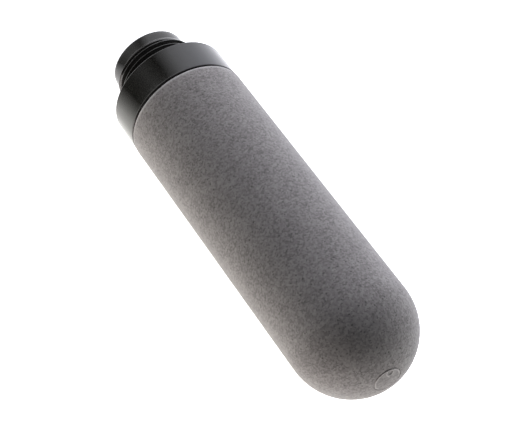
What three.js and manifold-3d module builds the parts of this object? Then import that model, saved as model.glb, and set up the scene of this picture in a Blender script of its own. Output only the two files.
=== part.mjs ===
// A large pneumatic exhaust silencer for a G 1 port: a moulded acetal connector with a right-hand
// pipe thread, and a porous sintered-polyethylene element pressed over the connector's barbed spigot.
// Millimetres. The common axis is +Z: the thread's free end lies at z = 0, the element's dome is at the top.

import * as THREE from 'three';
import { mergeVertices } from 'three/addons/utils/BufferGeometryUtils.js';
import Module from 'manifold-3d';

// ---- Pipe thread, external, right-hand (ISO 228-1, size 1: eleven threads to the inch) ----
const threadMajorDiameter = 33.249;
const threadPitch = 25.4 / 11;
const flankAngle = THREE.MathUtils.degToRad(27.5); // each flank to the radius: a 55 degree form
const threadDepth = 0.640327 * threadPitch; // Whitworth depth, crest to root
const crestWidth = threadPitch / 6; // flat left where the sharp crest is cut off
const threadLeadIn = 0.62; // turns over which the ridge rises from the core to its full height
const threadRunOut = 0.2; // turns over which it sinks back into the core
const threadStartAngle = Math.PI; // about +Z from +X
const ridgeRoot = 0.25; // how far the ridge's foot reaches below the core's surface

// ---- Nipple: the threaded end of the connector ----
const nippleLength = 18.7; // free end to the shoulder
const pilotLength = 4.2; // plain lead-in, free end to the foot of the thread's start
const pilotChamfer = 0.7;
const nippleWall = 3.1; // core to bore
const boreChamfer = 0.5;
const reliefLength = 2.6; // plain groove between the thread and the shoulder
const reliefDepth = 0.2;

// ---- Collar: the plain round gripping band ----
const collarHeight = 14.35; // shoulder to the element's seat
const collarInset = 0.15; // its radius below the element's
const shoulderChamfer = 0.4;
const seatChamfer = 0.5;

// ---- Porous element ----
const elementDiameter = 48.0; // at its open end
const elementLength = 140.95; // open end to the pole of the dome
const elementWall = 4.7;
const elementTaper = 0.25; // loss of radius from the open end to the dome's foot
const domeHeight = 24.0;
const rimRadius = 0.8; // rounded outer edge of the open end
const boreLeadIn = 0.6; // chamfer that lets the spigot start into the bore

// ---- Mould mark on the pole of the dome ----
const markRadius = 5.45; // of the ring groove left round the mould's insert
const markGrooveWidth = 0.45;
const markGrooveDepth = 0.25;
const pipRadius = 1.1; // round dimple inside the mark
const pipOffset = 3.6;
const pipDepth = 0.2;
const pipAngle = THREE.MathUtils.degToRad(236);

// ---- Press joint: barbed spigot in the element's bore ----
const fitClearance = 0.3; // radial, spigot and barbs to the bore and its grooves
const seatGap = 0.5; // collar to the element's end face
const spigotLength = 22;
const spigotWall = 2.9;
const spigotNose = 0.8; // chamfer on its free end
const firstBarb = 5; // seat to the first barb
const barbPitch = 5;
const barbLength = 3;
const barbLand = 0.6; // level top of a barb, before its ramp
const barbHeight = 0.6;

// ---- Fineness of the facets ----
const segmentsRound = 48;
const domeSteps = 10;
const roundSteps = 3;
const threadStepsPerTurn = 30;
const mergeTolerance = 1e-4;

// ---- Sizes that follow from the ones above ----
const threadRadius = threadMajorDiameter / 2;
const coreRadius = threadRadius - threadDepth;
const nippleBoreRadius = coreRadius - nippleWall;
const threadEnd = nippleLength - reliefLength;
const seatHeight = nippleLength + collarHeight;
const elementRadius = elementDiameter / 2;
const elementBoreRadius = elementRadius - elementWall;
const elementFoot = seatHeight + seatGap;
const elementTop = elementFoot + elementLength;
const domeFoot = elementTop - domeHeight;
const domeRadius = elementRadius - elementTaper;
const collarRadius = elementRadius - collarInset;
const spigotRadius = elementBoreRadius - fitClearance;
const spigotBoreRadius = spigotRadius - spigotWall;
const spigotEnd = seatHeight + spigotLength;
const barbCount = 1 + Math.floor((spigotLength - firstBarb - barbLength) / barbPitch);

const wasm = await Module();
wasm.setup();

// A body of revolution about +Z. The outline is a list of [radius, height] points that climbs on
// its outer side, and either starts and ends on the axis or closes on itself.
function revolve(outline) {
  const points = outline.map(([radius, height]) => new THREE.Vector2(radius, height));
  return new THREE.LatheGeometry(points, segmentsRound).rotateX(Math.PI / 2);
}

function solidFrom(geometry) {
  const bare = geometry.clone();
  bare.deleteAttribute('normal');
  bare.deleteAttribute('uv');
  const merged = mergeVertices(bare, mergeTolerance);
  return new wasm.Manifold(new wasm.Mesh({
    numProp: 3,
    vertProperties: merged.attributes.position.array,
    triVerts: new Uint32Array(merged.index.array),
  }));
}

function geometryFrom(solid) {
  const mesh = solid.getMesh();
  const geometry = new THREE.BufferGeometry();
  geometry.setAttribute('position', new THREE.BufferAttribute(mesh.vertProperties, 3));
  geometry.setIndex(new THREE.BufferAttribute(mesh.triVerts, 1));
  geometry.computeVertexNormals();
  return geometry;
}

// Outline points of an elliptical arc about the centre [radius, height], with its two half-axes.
function arc(centre, halfWidth, halfHeight, fromAngle, toAngle, steps) {
  const points = [];
  for (let i = 0; i <= steps; i++) {
    const angle = fromAngle + (toAngle - fromAngle) * i / steps;
    points.push([centre[0] + halfWidth * Math.cos(angle), centre[1] + halfHeight * Math.sin(angle)]);
  }
  return points;
}

// The row of barbs as an outline climbing along the joint, grown by a clearance for the bore's grooves.
function barbOutline(clearance) {
  const radius = spigotRadius + clearance;
  const points = [];
  for (let i = 0; i < barbCount; i++) {
    const foot = seatHeight + firstBarb + i * barbPitch;
    points.push(
      [radius, foot - clearance],
      [radius + barbHeight, foot - clearance],
      [radius + barbHeight, foot + barbLand + clearance],
      [radius, foot + barbLength + clearance],
    );
  }
  return points;
}

// The thread's ridge: its section, wound up the core as one closed body. The flanks keep their slope
// while the crest rises out of the core at the start and sinks back into it at the end.
function threadRidge() {
  const foot = coreRadius - ridgeRoot;
  const slope = Math.tan(flankAngle);
  const footHalfWidth = crestWidth / 2 + (threadRadius - foot) * slope;
  const hidden = ridgeRoot / 2; // crest height over the foot at both ends, still inside the core
  const firstHeight = pilotLength + footHalfWidth;
  const turns = (threadEnd - footHalfWidth - firstHeight) / threadPitch;
  const steps = Math.round(turns * threadStepsPerTurn);
  const positions = [];
  const index = [];
  for (let i = 0; i <= steps; i++) {
    const turn = turns * i / steps;
    const rise = Math.min(1, turn / threadLeadIn, (turns - turn) / threadRunOut);
    const crest = foot + hidden + (threadRadius - foot - hidden) * rise;
    const crestHalfWidth = footHalfWidth - (crest - foot) * slope;
    const angle = threadStartAngle + 2 * Math.PI * turn;
    const height = firstHeight + threadPitch * turn;
    const section = [
      [foot, height - footHalfWidth],
      [crest, height - crestHalfWidth],
      [crest, height + crestHalfWidth],
      [foot, height + footHalfWidth],
    ];
    for (const [radius, z] of section) {
      positions.push(radius * Math.cos(angle), radius * Math.sin(angle), z);
    }
    if (i === steps) continue;
    for (let corner = 0; corner < 4; corner++) {
      const a = 4 * i + corner;
      const b = 4 * i + (corner + 1) % 4;
      index.push(a, a + 4, b, b, a + 4, b + 4);
    }
  }
  const last = 4 * steps;
  index.push(0, 1, 2, 0, 2, 3);
  index.push(last, last + 2, last + 1, last, last + 3, last + 2);
  const geometry = new THREE.BufferGeometry();
  geometry.setAttribute('position', new THREE.Float32BufferAttribute(positions, 3));
  geometry.setIndex(index);
  return geometry;
}

// Nipple, collar and barbed spigot: one moulding with a bore that widens as it reaches the element.
function connectorGeometry() {
  const body = revolve([
    [nippleBoreRadius + boreChamfer, 0],
    [coreRadius - pilotChamfer, 0],
    [coreRadius, pilotChamfer],
    [coreRadius, threadEnd],
    [coreRadius - reliefDepth, threadEnd + reliefDepth],
    [coreRadius - reliefDepth, nippleLength],
    [collarRadius - shoulderChamfer, nippleLength],
    [collarRadius, nippleLength + shoulderChamfer],
    [collarRadius, seatHeight - seatChamfer],
    [collarRadius - seatChamfer, seatHeight],
    [spigotRadius, seatHeight],
    ...barbOutline(0),
    [spigotRadius, spigotEnd - spigotNose],
    [spigotRadius - spigotNose, spigotEnd],
    [spigotBoreRadius, spigotEnd],
    [spigotBoreRadius, seatHeight],
    [nippleBoreRadius, nippleLength],
    [nippleBoreRadius, boreChamfer],
    [nippleBoreRadius + boreChamfer, 0],
  ]);
  return geometryFrom(solidFrom(body).add(solidFrom(threadRidge())));
}

// Blind porous tube with a domed end: plain bore with a groove round each barb, rounded rim,
// and the mould insert's ring groove and dimple on the pole.
function elementGeometry() {
  const rimCentre = [elementRadius - rimRadius, elementFoot + rimRadius];
  const grooveInner = markRadius - markGrooveWidth;
  const markEdge = Math.acos(markRadius / domeRadius);
  const domeLevel = (radius) => domeFoot + domeHeight * Math.sqrt(1 - (radius / domeRadius) ** 2);
  const body = revolve([
    ...arc([0, domeFoot], elementBoreRadius, elementBoreRadius, Math.PI / 2, 0, domeSteps),
    ...barbOutline(fitClearance).reverse(),
    [elementBoreRadius, elementFoot + boreLeadIn],
    [elementBoreRadius + boreLeadIn, elementFoot],
    ...arc(rimCentre, rimRadius, rimRadius, -Math.PI / 2, 0, roundSteps),
    ...arc([0, domeFoot], domeRadius, domeHeight, 0, markEdge, domeSteps),
    [markRadius, domeLevel(markRadius) - markGrooveDepth],
    [grooveInner, domeLevel(grooveInner) - markGrooveDepth],
    [grooveInner, domeLevel(grooveInner)],
    [grooveInner / 2, domeLevel(grooveInner / 2)],
    [0, elementTop],
  ]);
  const dimpleFloor = domeLevel(pipOffset) - pipDepth;
  const dimple = new THREE.CylinderGeometry(pipRadius, pipRadius, 1, roundSteps * 8)
    .rotateX(Math.PI / 2)
    .translate(
      pipOffset * Math.cos(pipAngle),
      pipOffset * Math.sin(pipAngle),
      dimpleFloor + 0.5,
    );
  return geometryFrom(solidFrom(body).subtract(solidFrom(dimple)));
}

const acetal = new THREE.MeshStandardMaterial({ color: 0x101010, roughness: 0.22, metalness: 0 });
const porousPolyethylene = new THREE.MeshStandardMaterial({ color: 0x6e6b70, roughness: 0.95, metalness: 0 });

const silencer = new THREE.Group();

const connector = new THREE.Mesh(connectorGeometry(), acetal);
connector.name = 'threaded_connector';
silencer.add(connector);

const element = new THREE.Mesh(elementGeometry(), porousPolyethylene);
element.name = 'porous_element';
silencer.add(element);

export default silencer;
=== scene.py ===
import math

import bpy
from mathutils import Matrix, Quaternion, Vector


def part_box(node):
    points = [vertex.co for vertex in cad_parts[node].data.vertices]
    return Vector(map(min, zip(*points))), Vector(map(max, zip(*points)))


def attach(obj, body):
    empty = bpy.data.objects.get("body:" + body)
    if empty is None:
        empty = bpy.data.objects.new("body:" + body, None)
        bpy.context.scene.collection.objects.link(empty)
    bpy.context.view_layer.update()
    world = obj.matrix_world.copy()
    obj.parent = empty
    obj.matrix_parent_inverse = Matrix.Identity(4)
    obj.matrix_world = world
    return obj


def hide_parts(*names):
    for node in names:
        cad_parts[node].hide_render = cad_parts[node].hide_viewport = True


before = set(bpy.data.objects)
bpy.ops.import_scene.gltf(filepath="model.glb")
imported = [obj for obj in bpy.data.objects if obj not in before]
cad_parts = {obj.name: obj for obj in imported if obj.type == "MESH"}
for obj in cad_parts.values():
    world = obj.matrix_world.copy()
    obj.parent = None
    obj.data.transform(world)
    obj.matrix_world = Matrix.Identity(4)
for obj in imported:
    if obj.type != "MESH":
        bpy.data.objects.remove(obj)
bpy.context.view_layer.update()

MM = 0.001

# ---------------------------------------------------------------------------
# The silencer stands on its nipple, thread down and dome up, with its axis on +Z.
# The camera looks down on the dome from the -Y side, on a long lens, and is rolled
# so that the silencer lies across the picture with its dome at the lower right.
# ---------------------------------------------------------------------------
camera_lens = 114.6  # mm, on a 36 mm sensor
camera_place = Vector((0, -498.0, 426.6)) * MM
camera_target = Vector((1.8, 0, 91.1)) * MM
camera_roll = math.radians(143.2)

camera_data = bpy.data.cameras.new("studio_camera")
camera_data.lens = camera_lens
camera_data.sensor_width = 36
camera_data.clip_start = 0.01
camera_data.clip_end = 20
camera = bpy.data.objects.new("studio_camera", camera_data)
bpy.context.scene.collection.objects.link(camera)
camera.location = camera_place
camera.rotation_mode = "QUATERNION"
upright = (camera_target - camera_place).to_track_quat("-Z", "Y")
camera.rotation_quaternion = upright @ Quaternion((0, 0, 1), camera_roll)
bpy.context.scene.camera = camera
bpy.context.scene.view_settings.view_transform = "Standard"


# ---------------------------------------------------------------------------
# Acetal connector: one injection moulding with the threaded nipple, the round collar and
# the barbed spigot. It is turned here as its mould is: ring after ring along the outline,
# then the sharp edges are rounded and the thread is cut round the nipple.
# ---------------------------------------------------------------------------
ring_sides = 240

thread_major = 33.249 / 2 * MM
thread_pitch = 25.4 / 11 * MM
thread_depth = 0.640327 * thread_pitch
thread_rounding = 0.137329 * thread_pitch
thread_flank = math.radians(27.5)
thread_lead_in = 0.62  # turns over which the thread rises to its full height
thread_run_out = 0.2  # turns over which it sinks back into the core
thread_start_angle = math.pi
thread_core = thread_major - thread_depth

nipple_length = 18.7 * MM
nipple_wall = 3.1 * MM
pilot_length = 4.2 * MM  # plain lead-in, from the free end to the foot of the thread
relief_length = 2.6 * MM  # plain groove between the thread and the shoulder
relief_depth = 0.2 * MM
collar_height = 14.35 * MM
collar_inset = 0.15 * MM
element_wall = 4.7 * MM
fit_clearance = 0.3 * MM
spigot_length = 22 * MM
spigot_wall = 2.9 * MM
first_barb = 5 * MM
barb_pitch = 5 * MM
barb_count = 3
barb_height = 0.6 * MM
barb_land = 0.6 * MM
barb_length = 3 * MM
edge_round = 0.5 * MM  # on the bore, the spigot's nose and the collar's seat
pilot_round = 0.6 * MM
shoulder_round = 0.4 * MM
support_inset = 0.2 * MM  # rings this far inside a rounding keep the collar's gloss straight
pilot_support = 2.0 * MM

element_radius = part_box("porous_element")[1].x
element_bore = element_radius - element_wall
seat_height = nipple_length + collar_height  # where the porous element meets the collar
nipple_bore = thread_core - nipple_wall
collar_radius = element_radius - collar_inset
spigot_radius = element_bore - fit_clearance
spigot_bore = spigot_radius - spigot_wall
spigot_end = seat_height + spigot_length
barb_places = [seat_height + first_barb + i * barb_pitch for i in range(barb_count)]


def deselect_all():
    """Nothing stays selected, so that an operator acts on the new piece alone."""
    if bpy.context.mode != "OBJECT":
        bpy.ops.object.mode_set(mode="OBJECT")
    bpy.ops.object.select_all(action="DESELECT")


def turned_piece(name, outline, blind=False):
    """A turned piece: a ring of the outline's first radius, extruded and resized point by point.
    A blind one is closed over the axis at both ends of its outline."""
    deselect_all()
    radius, height = outline[0]
    fill = "TRIFAN" if blind else "NOTHING"
    bpy.ops.mesh.primitive_circle_add(
        vertices=ring_sides, radius=radius, location=(0, 0, height), fill_type=fill
    )
    piece = bpy.context.object
    piece.name = name
    piece.data.name = name
    bpy.ops.object.transform_apply(location=True, rotation=True, scale=True)
    bpy.ops.object.mode_set(mode="EDIT")
    bpy.ops.mesh.select_mode(type="EDGE")
    bpy.ops.mesh.select_all(action="SELECT")
    if blind:
        bpy.ops.mesh.region_to_loop()
    for next_radius, next_height in outline[1:]:
        rise = (0, 0, next_height - height)
        bpy.ops.mesh.extrude_edges_move(TRANSFORM_OT_translate={"value": rise})
        grow = next_radius / radius
        bpy.ops.transform.resize(value=(grow, grow, 1), center_override=(0, 0, next_height))
        radius, height = next_radius, next_height
    if blind:
        bpy.ops.mesh.merge(type="CENTER")
    bpy.ops.mesh.select_all(action="SELECT")
    bpy.ops.mesh.remove_doubles(threshold=0.001 * MM)
    bpy.ops.mesh.normals_make_consistent(inside=False)
    bpy.ops.object.mode_set(mode="OBJECT")
    return piece


def round_edges(piece, rings, width, steps=3):
    """Rounds the circular edges that lie at these (radius, height) places."""
    deselect_all()
    bpy.context.view_layer.objects.active = piece
    bpy.ops.object.mode_set(mode="EDIT")
    bpy.ops.mesh.select_mode(type="EDGE")
    bpy.ops.mesh.select_all(action="DESELECT")
    bpy.ops.object.mode_set(mode="OBJECT")
    near = 0.02 * MM
    places = piece.data.vertices
    for edge in piece.data.edges:
        ends = [places[i].co for i in edge.vertices]
        if abs(ends[0].z - ends[1].z) > near:
            continue
        radius = math.hypot(ends[0].x, ends[0].y)
        other = math.hypot(ends[1].x, ends[1].y)
        edge.select = abs(radius - other) < near and any(
            abs(radius - r) < near and abs(ends[0].z - h) < near for r, h in rings
        )
    bpy.ops.object.mode_set(mode="EDIT")
    bpy.ops.mesh.bevel(offset=width, segments=steps, affect="EDGES")
    bpy.ops.object.mode_set(mode="OBJECT")


thread_top = nipple_length - relief_length
thread_rings = 150
thread_zone = [
    (thread_core, pilot_length + (thread_top - pilot_length) * i / thread_rings)
    for i in range(thread_rings + 1)
]
barbs = []
for foot in barb_places:
    barbs += [
        (spigot_radius, foot),
        (spigot_radius + barb_height, foot),
        (spigot_radius + barb_height, foot + barb_land),
        (spigot_radius, foot + barb_length),
    ]
connector = turned_piece(
    "threaded_connector_moulding",
    [
        (nipple_bore, 0),
        (thread_core, 0),
        (thread_core, pilot_support),
        *thread_zone,
        (thread_core - relief_depth, thread_top + relief_depth),
        (thread_core - relief_depth, nipple_length),
        (collar_radius, nipple_length),
        (collar_radius, nipple_length + shoulder_round + support_inset),
        (collar_radius, seat_height - edge_round - support_inset),
        (collar_radius, seat_height),
        (spigot_radius, seat_height),
        *barbs,
        (spigot_radius, spigot_end),
        (spigot_bore, spigot_end),
        (spigot_bore, seat_height),
        (nipple_bore, nipple_length),
        (nipple_bore, 0),
    ],
)
round_edges(connector, [(thread_core, 0)], pilot_round)
round_edges(connector, [(nipple_bore, 0), (spigot_radius, spigot_end)], edge_round)
round_edges(connector, [(collar_radius, nipple_length)], shoulder_round)
round_edges(connector, [(collar_radius, seat_height)], edge_round)


def thread_form(from_crest):
    """Height of the rounded 55 degree form over its root, this far along the axis from a crest."""
    tangent = thread_rounding * math.cos(thread_flank)
    sag = thread_rounding - math.sqrt(thread_rounding**2 - min(from_crest, tangent) ** 2)
    if from_crest <= tangent:
        return thread_depth - sag
    from_root = thread_pitch / 2 - from_crest
    if from_root <= tangent:
        return thread_rounding - math.sqrt(thread_rounding**2 - from_root**2)
    return thread_depth - sag - (from_crest - tangent) / math.tan(thread_flank)


# The first and last crests stand back from the ends of the thread by half the width of the ridge's foot.
crest_clearance = 1.09 * MM
first_crest = pilot_length + crest_clearance
thread_turns = (thread_top - crest_clearance - first_crest) / thread_pitch
for vertex in connector.data.vertices:
    x, y, z = vertex.co
    radius = math.hypot(x, y)
    on_core = abs(radius - thread_core) < 0.01 * MM
    if not on_core or not pilot_length < z < thread_top:
        continue
    start = ((math.atan2(y, x) - thread_start_angle) / (2 * math.pi)) % 1
    crest = round((z - first_crest) / thread_pitch - start)
    from_crest = abs(z - first_crest - thread_pitch * (crest + start))
    turn = crest + start
    fade = max(0, min(1, turn / thread_lead_in, (thread_turns - turn) / thread_run_out))
    grow = (thread_core + thread_form(from_crest) * fade) / radius
    vertex.co = (x * grow, y * grow, z)

deselect_all()
connector.select_set(True)
bpy.context.view_layer.objects.active = connector
bpy.ops.object.shade_smooth_by_angle(angle=math.radians(28))


def linear(hex_colour):
    """An sRGB hex colour as the linear RGBA that shaders take."""
    parts = [int(hex_colour[i:i + 2], 16) / 255 for i in (1, 3, 5)]
    light = [p / 12.92 if p <= 0.04045 else ((p + 0.055) / 1.055) ** 2.4 for p in parts]
    return (*light, 1)


def add(tree, kind, settings=None, **links):
    """Adds one node to a material: its settings by name, then the value or the socket that each input
    takes. An input goes by its name, or by i and its number where names repeat."""
    node = tree.nodes.new(kind)
    for key, value in (settings or {}).items():
        setattr(node, key, value)
    for key, value in links.items():
        socket = node.inputs[int(key[1:])] if key[1:].isdigit() else node.inputs[key.replace("_", " ")]
        if isinstance(value, bpy.types.NodeSocket):
            tree.links.new(value, socket)
        else:
            socket.default_value = value
    return node


def new_material(name):
    """An empty node material and its tree."""
    material = bpy.data.materials.new(name)
    material.use_nodes = True
    material.node_tree.nodes.clear()
    return material, material.node_tree


# Black acetal, injection moulded against a polished steel mould: near-black, with a clear
# sharp gloss that is broken only by the faint waviness of the moulded skin and by light scuffs.
acetal, tree = new_material("black_acetal_moulded")
place = add(tree, "ShaderNodeTexCoord").outputs["Object"]
waviness = add(tree, "ShaderNodeTexNoise", Vector=place, Scale=1 / (6 * MM), Detail=2.0)
scuffs = add(tree, "ShaderNodeTexNoise", Vector=place, Scale=1 / (1.2 * MM), Detail=4.0)
gloss = add(
    tree, "ShaderNodeMapRange", Value=scuffs.outputs[0],
    From_Min=0.3, From_Max=0.7, To_Min=0.10, To_Max=0.17,
)
skin = add(tree, "ShaderNodeBump", Height=waviness.outputs[0], Strength=0.15, Distance=0.02 * MM)
surface = add(
    tree, "ShaderNodeBsdfPrincipled", Base_Color=linear("#1d1d1a"), Roughness=gloss.outputs[0],
    IOR=1.52, Normal=skin.outputs[0],
)
add(tree, "ShaderNodeOutputMaterial", Surface=surface.outputs[0])
connector.data.materials.append(acetal)

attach(connector, "root")
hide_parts("threaded_connector")


# ---------------------------------------------------------------------------
# Porous element: polyethylene granules sintered in a mould into a blind tube with a domed end.
# The mould leaves a rounded rim at the open end, and the ring and small dimple of its insert
# on the dome's pole. It is pressed over the barbs of the spigot, which bed in its bore.
# ---------------------------------------------------------------------------
seat_gap = 0.5 * MM  # the seam: a shadow line over the collar
rim_radius = 0.8 * MM
bore_lead_in = 0.6 * MM
element_taper = 0.25 * MM  # loss of radius from the rim to the dome's foot
dome_height = 24.0 * MM
element_foot = seat_height + seat_gap
element_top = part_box("porous_element")[1].z
dome_radius = element_radius - element_taper
dome_foot = element_top - dome_height

mark_radius = 5.45 * MM
groove_width = 0.45 * MM
groove_depth = 0.25 * MM
lip_width = 0.55 * MM  # fine raised edge that the insert leaves round the disc and the dimple
lip_height = 0.09 * MM
dimple_radius = 1.1 * MM
dimple_depth = 0.2 * MM
dimple_slope = 3  # its wall takes up one part in this many of its radius
dimple_offset = 3.6 * MM
dimple_angle = math.radians(236)


def dome_level(radius):
    """Height of the dome's outside at this radius from the axis."""
    return dome_foot + dome_height * math.sqrt(1 - (radius / dome_radius) ** 2)


def arc(radius, height, centre_radius, centre_height, first, last, steps):
    """Outline points on an elliptical arc, between two angles in degrees above the horizontal."""
    turns = [math.radians(first + (last - first) * i / steps) for i in range(steps + 1)]
    return [
        (centre_radius + radius * math.cos(turn), centre_height + height * math.sin(turn))
        for turn in turns
    ]


bore_grooves = []
for foot in reversed(barb_places):
    bore_grooves += [
        (element_bore, foot + barb_length + fit_clearance),
        (element_bore + barb_height, foot + barb_land + fit_clearance),
        (element_bore + barb_height, foot - fit_clearance),
        (element_bore, foot - fit_clearance),
    ]
bore_pole = [(0.2 * MM, dome_foot + element_bore)]
bore_dome = arc(element_bore, element_bore, 0, dome_foot, 88, 0, 22)
bore_mouth = [
    (element_bore, element_foot + bore_lead_in),
    (element_bore + bore_lead_in, element_foot),
]
rim_top = element_foot + rim_radius
rim = arc(rim_radius, rim_radius, element_radius - rim_radius, rim_top, -90, 0, 6)
wall_rows = 24
wall = [
    (
        element_radius - element_taper * i / wall_rows,
        rim_top + (dome_foot - rim_top) * i / wall_rows,
    )
    for i in range(1, wall_rows)
]
mark_edge = math.degrees(math.acos(mark_radius / dome_radius))
dome = arc(dome_radius, dome_height, 0, dome_foot, 0, mark_edge, 36)
groove_steps = 6
groove = []
for i in range(1, groove_steps + 1):
    radius = mark_radius - groove_width * i / groove_steps
    sink = groove_depth * math.sin(math.pi * i / groove_steps)
    groove.append((radius, dome_level(radius) - sink))
lip_steps = 6
lip = []
for i in range(1, lip_steps + 1):
    radius = mark_radius - groove_width - lip_width * i / lip_steps
    lip.append((radius, dome_level(radius) + lip_height * math.sin(math.pi * i / lip_steps)))
disc_radius = lip[-1][0]
disc_rings = 26
disc = []
for i in range(1, disc_rings):
    radius = disc_radius * (1 - i / disc_rings)
    disc.append((radius, dome_level(radius)))
element = turned_piece(
    "porous_element_sintered",
    bore_pole + bore_dome + bore_grooves + bore_mouth + rim + wall + dome + groove + lip + disc,
    blind=True,
)

dimple_centre = Vector((math.cos(dimple_angle), math.sin(dimple_angle), 0)) * dimple_offset
for vertex in element.data.vertices:
    away = math.hypot(vertex.co.x - dimple_centre.x, vertex.co.y - dimple_centre.y)
    if vertex.co.z < dome_level(mark_radius) or away > dimple_radius + lip_width:
        continue
    if away > dimple_radius:
        vertex.co.z += lip_height * math.sin(math.pi * (away - dimple_radius) / lip_width)
    else:
        vertex.co.z -= dimple_depth * min(1, dimple_slope * (1 - away / dimple_radius))

deselect_all()
element.select_set(True)
bpy.context.view_layer.objects.active = element
bpy.ops.object.shade_smooth_by_angle(angle=math.radians(35))

# Sintered polyethylene, dyed grey before moulding: matt, with a fine salt-and-pepper grain of granules
# and pores, a few larger open pores, and a pale bloom at grazing angles. The rim and the raised lips
# carry
# painted highlights: paler bands for the light that they catch. Real granules are near 0.3 mm, and are
# drawn at 0.6 mm so that they show.
sintered, tree = new_material("grey_sintered_polyethylene")
place = add(tree, "ShaderNodeTexCoord").outputs["Object"]
granules = add(tree, "ShaderNodeTexVoronoi", Vector=place, Scale=1 / (0.6 * MM), Randomness=1.0)
shade = add(tree, "ShaderNodeSeparateColor", Color=granules.outputs["Color"])
pores = add(
    tree, "ShaderNodeTexNoise", Vector=place, Scale=1 / (0.85 * MM), Detail=2.0, Roughness=0.6
)
clouds = add(tree, "ShaderNodeTexNoise", Vector=place, Scale=1 / (9 * MM), Detail=2.0)
grain = add(
    tree, "ShaderNodeMix", {"data_type": "FLOAT"}, i0=0.45, i2=shade.outputs[0], i3=pores.outputs[0]
)
grain_cloud = add(
    tree, "ShaderNodeMix", {"data_type": "FLOAT"}, i0=0.25, i2=grain.outputs[0], i3=clouds.outputs[0]
)
tone = add(tree, "ShaderNodeValToRGB", Fac=grain_cloud.outputs[0])
tone.color_ramp.elements[0].position = 0.15
tone.color_ramp.elements[0].color = linear("#686464")
tone.color_ramp.elements[1].position = 0.85
tone.color_ramp.elements[1].color = linear("#aca8a6")
open_pores = add(tree, "ShaderNodeTexVoronoi", Vector=place, Scale=1 / (2.4 * MM), Randomness=1.0)
pore_cover = add(
    tree, "ShaderNodeMapRange", Value=open_pores.outputs["Distance"],
    From_Min=0.07, From_Max=0.18, To_Min=0.75, To_Max=0.0,
)
tone_pores = add(
    tree, "ShaderNodeMix", {"data_type": "RGBA"}, i0=pore_cover.outputs[0], i6=tone.outputs["Color"],
    i7=linear("#4c494a"),
)
height = add(tree, "ShaderNodeSeparateXYZ", Vector=place).outputs["Z"]
# Painted highlight: the rim is drawn paler (#e6e3e4) from 0.55 mm to 1.5 mm over the element's foot, for
# the light that its rounded edge catches.
rim_painted_highlight = add(
    tree, "ShaderNodeMapRange", Value=height,
    From_Min=element_foot + 0.55 * MM, From_Max=element_foot + 1.5 * MM, To_Min=0.55, To_Max=0.0,
)
tone_rim = add(
    tree, "ShaderNodeMix", {"data_type": "RGBA"}, i0=rim_painted_highlight.outputs[0], i6=tone_pores.outputs[2],
    i7=linear("#e6e3e4"),
)
# Painted highlight: the raised lips round the disc and the dimple are drawn paler (#d2cecc), for the
# light lines that they catch.
flat_place = add(tree, "ShaderNodeVectorMath", {"operation": "MULTIPLY"}, i0=place, i1=(1, 1, 0))
disc_lip = disc_radius + lip_width / 2
dimple_lip = dimple_radius + lip_width / 2
lip_covers = []
for centre, lip_radius in (((0, 0, 0), disc_lip), (tuple(dimple_centre), dimple_lip)):
    away = add(
        tree, "ShaderNodeVectorMath", {"operation": "DISTANCE"}, i0=flat_place.outputs[0], i1=centre
    )
    past_lip = add(
        tree, "ShaderNodeMath", {"operation": "SUBTRACT"}, i0=away.outputs["Value"], i1=lip_radius
    )
    off_lip = add(tree, "ShaderNodeMath", {"operation": "ABSOLUTE"}, i0=past_lip.outputs[0])
    lip_cover = add(
        tree, "ShaderNodeMapRange", Value=off_lip.outputs[0],
        From_Min=lip_width * 0.2, From_Max=lip_width * 0.7, To_Min=0.5, To_Max=0.0,
    )
    lip_covers.append(lip_cover.outputs[0])
lip_highlight = add(tree, "ShaderNodeMath", {"operation": "MAXIMUM"}, i0=lip_covers[0], i1=lip_covers[1])
tone_lip = add(
    tree, "ShaderNodeMix", {"data_type": "RGBA"}, i0=lip_highlight.outputs[0], i6=tone_rim.outputs[2],
    i7=linear("#d2cecc"),
)
relief = add(tree, "ShaderNodeBump", Height=grain.outputs[0], Strength=0.5, Distance=0.06 * MM)
surface = add(
    tree, "ShaderNodeBsdfPrincipled", Base_Color=tone_lip.outputs[2], Roughness=0.85, IOR=1.5,
    Normal=relief.outputs[0],
)
surface.inputs["Specular IOR Level"].default_value = 0.25
surface.inputs["Sheen Weight"].default_value = 0.42
surface.inputs["Sheen Roughness"].default_value = 0.45
add(tree, "ShaderNodeOutputMaterial", Surface=surface.outputs[0])
element.data.materials.append(sintered)

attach(element, "root")
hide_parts("porous_element")


# ---------------------------------------------------------------------------
# Studio: a glowing white table, a soft panel at each side and one behind, and rings of card on the
# table. The cards aren't seen themselves: they are painted shade and painted reflection, dark or dimly
# glowing, that give the gloss its dark band and the front its shade.
# Nothing of them is part of the silencer.
# ---------------------------------------------------------------------------
floor_size = 4.0
floor_level = -0.2 * MM
table_glow = 1.55

deselect_all()
bpy.ops.mesh.primitive_plane_add(size=floor_size, location=(0, 0, floor_level))
floor = bpy.context.object
floor.name = "studio_floor"
white_table, tree = new_material("white_acrylic_light_table")
place = add(tree, "ShaderNodeTexCoord").outputs["Object"]
across = add(tree, "ShaderNodeSeparateXYZ", Vector=place).outputs["X"]
side = add(tree, "ShaderNodeMapRange", Value=across, From_Min=-0.06, From_Max=0.06)
daylight = add(
    tree, "ShaderNodeMix", {"data_type": "RGBA"}, i0=side.outputs[0], i6=linear("#eef0ff"),
    i7=linear("#f8f6ef"),
)
acrylic = add(tree, "ShaderNodeBsdfDiffuse", Color=linear("#e8e8e6"))
glow = add(tree, "ShaderNodeEmission", Color=daylight.outputs[2], Strength=table_glow)
lit_acrylic = add(tree, "ShaderNodeAddShader", i0=acrylic.outputs[0], i1=glow.outputs[0])
add(tree, "ShaderNodeOutputMaterial", Surface=lit_acrylic.outputs[0])
floor.data.materials.append(white_table)


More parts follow.
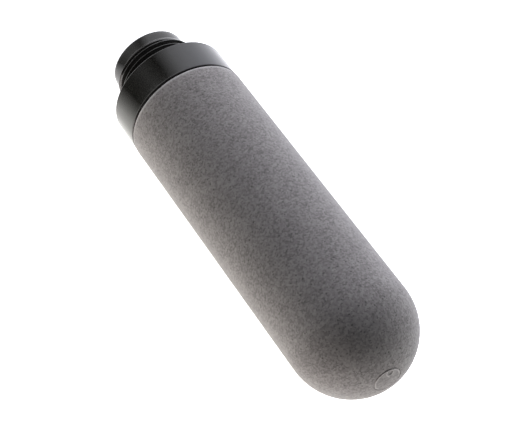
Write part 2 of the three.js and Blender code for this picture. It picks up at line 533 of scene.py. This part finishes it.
def ring_card(name, inner, outer, card_stops):
    """A flat ring of card on the table, cut to a sector with soft ends. Each stop is its azimuth from
    -Y in degrees, how bright the card is there, and how much of it is there."""
    black_card, tree = new_material(name + "_painted_shade_glow")
    place = add(tree, "ShaderNodeTexCoord").outputs["Object"]
    azimuth = add(tree, "ShaderNodeTexGradient", {"gradient_type": "RADIAL"}, Vector=place)
    sector = add(tree, "ShaderNodeValToRGB", Fac=azimuth.outputs["Fac"])
    for number, (angle, brightness, cover) in enumerate(card_stops):
        at = 0.25 + angle / 360
        stops = sector.color_ramp.elements
        stop = stops[number] if number < 2 else stops.new(at)
        stop.position = at
        stop.color = (brightness, brightness, brightness, cover)
    # The card glows with the stops' brightness and is hidden from the camera: painted shade and painted
    # reflection for what the silencer mirrors and for the light on its front.
    card_glow = add(tree, "ShaderNodeEmission", Color=sector.outputs["Color"])
    clear = add(tree, "ShaderNodeBsdfTransparent")
    cut = add(
        tree, "ShaderNodeMixShader", Fac=sector.outputs["Alpha"], i1=clear.outputs[0], i2=card_glow.outputs[0]
    )
    add(tree, "ShaderNodeOutputMaterial", Surface=cut.outputs[0])
    deselect_all()
    bpy.ops.mesh.primitive_circle_add(vertices=96, radius=inner, location=(0, 0, 0))
    card = bpy.context.object
    card.name = name
    bpy.ops.object.mode_set(mode="EDIT")
    bpy.ops.mesh.select_all(action="SELECT")
    bpy.ops.mesh.extrude_edges_move(TRANSFORM_OT_translate={"value": (0, 0, 0)})
    bpy.ops.transform.resize(value=(outer / inner, outer / inner, 1), center_override=(0, 0, 0))
    bpy.ops.object.mode_set(mode="OBJECT")
    card.data.materials.append(black_card)
    card.visible_camera = False
    card.visible_shadow = False


# The nipple reflects the inner card, the collar the next one, and the far one shades the element.
nipple_stops = [
    (-24, 0.15, 0), (-8, 0.25, 1), (6, 0.6, 1), (20, 0.6, 1),
    (34, 0.34, 1), (42, 0.22, 1), (58, 0.22, 0),
]
collar_stops = [
    (-46, 0.0, 0), (-32, 0.0, 0.18), (-8, 0.03, 1), (14, 0.32, 1), (32, 0.12, 1),
    (50, 0.03, 1), (58, 0.03, 0.75), (72, 0.03, 0.32), (84, 0.03, 0),
]
ring_card("black_card_inner", 15.6 * MM, 24 * MM, nipple_stops)
ring_card("black_card_collar", 38 * MM, 66 * MM, collar_stops)
ring_card("black_card_far", 95 * MM, 1900 * MM, collar_stops)


def soft_panel(name, place, size, radiance, colour="#ffffff"):
    """A softbox that faces the middle of the silencer, of this (width, height) and radiance."""
    data = bpy.data.lights.new(name, "AREA")
    data.shape = "RECTANGLE"
    data.size, data.size_y = size
    data.energy = radiance * math.pi * size[0] * size[1]
    data.color = linear(colour)[:3]
    panel = bpy.data.objects.new(name, data)
    bpy.context.scene.collection.objects.link(panel)
    panel.location = place
    panel.rotation_mode = "QUATERNION"
    middle = Vector((0, 0, element_top / 2))
    panel.rotation_quaternion = (middle - panel.location).to_track_quat("-Z", "Y")


soft_panel("panel_cool_side", Vector((-1.1, 0.5, 0.3)), (1.2, 0.58), 2.4, "#f8fbff")
soft_panel("panel_warm_side", Vector((1.1, 0.45, 0.45)), (1.0, 1.1), 3.7, "#fff6f2")
soft_panel("panel_back", Vector((0, 1.0, 1.15)), (2.0, 1.1), 2.8)

# The air is dim, so that the table and the panels give the light, and plain white where it is seen.
world = bpy.data.worlds.new("studio_air")
world.use_nodes = True
air = world.node_tree
air.nodes.clear()
dim = add(air, "ShaderNodeBackground", Color=linear("#ffffff"), Strength=0.04)
plain = add(air, "ShaderNodeBackground", Color=linear("#ffffff"), Strength=1.0)
seen = add(air, "ShaderNodeLightPath").outputs["Is Camera Ray"]
backdrop = add(air, "ShaderNodeMixShader", Fac=seen, i1=dim.outputs[0], i2=plain.outputs[0])
add(air, "ShaderNodeOutputWorld", Surface=backdrop.outputs[0])
bpy.context.scene.world = world
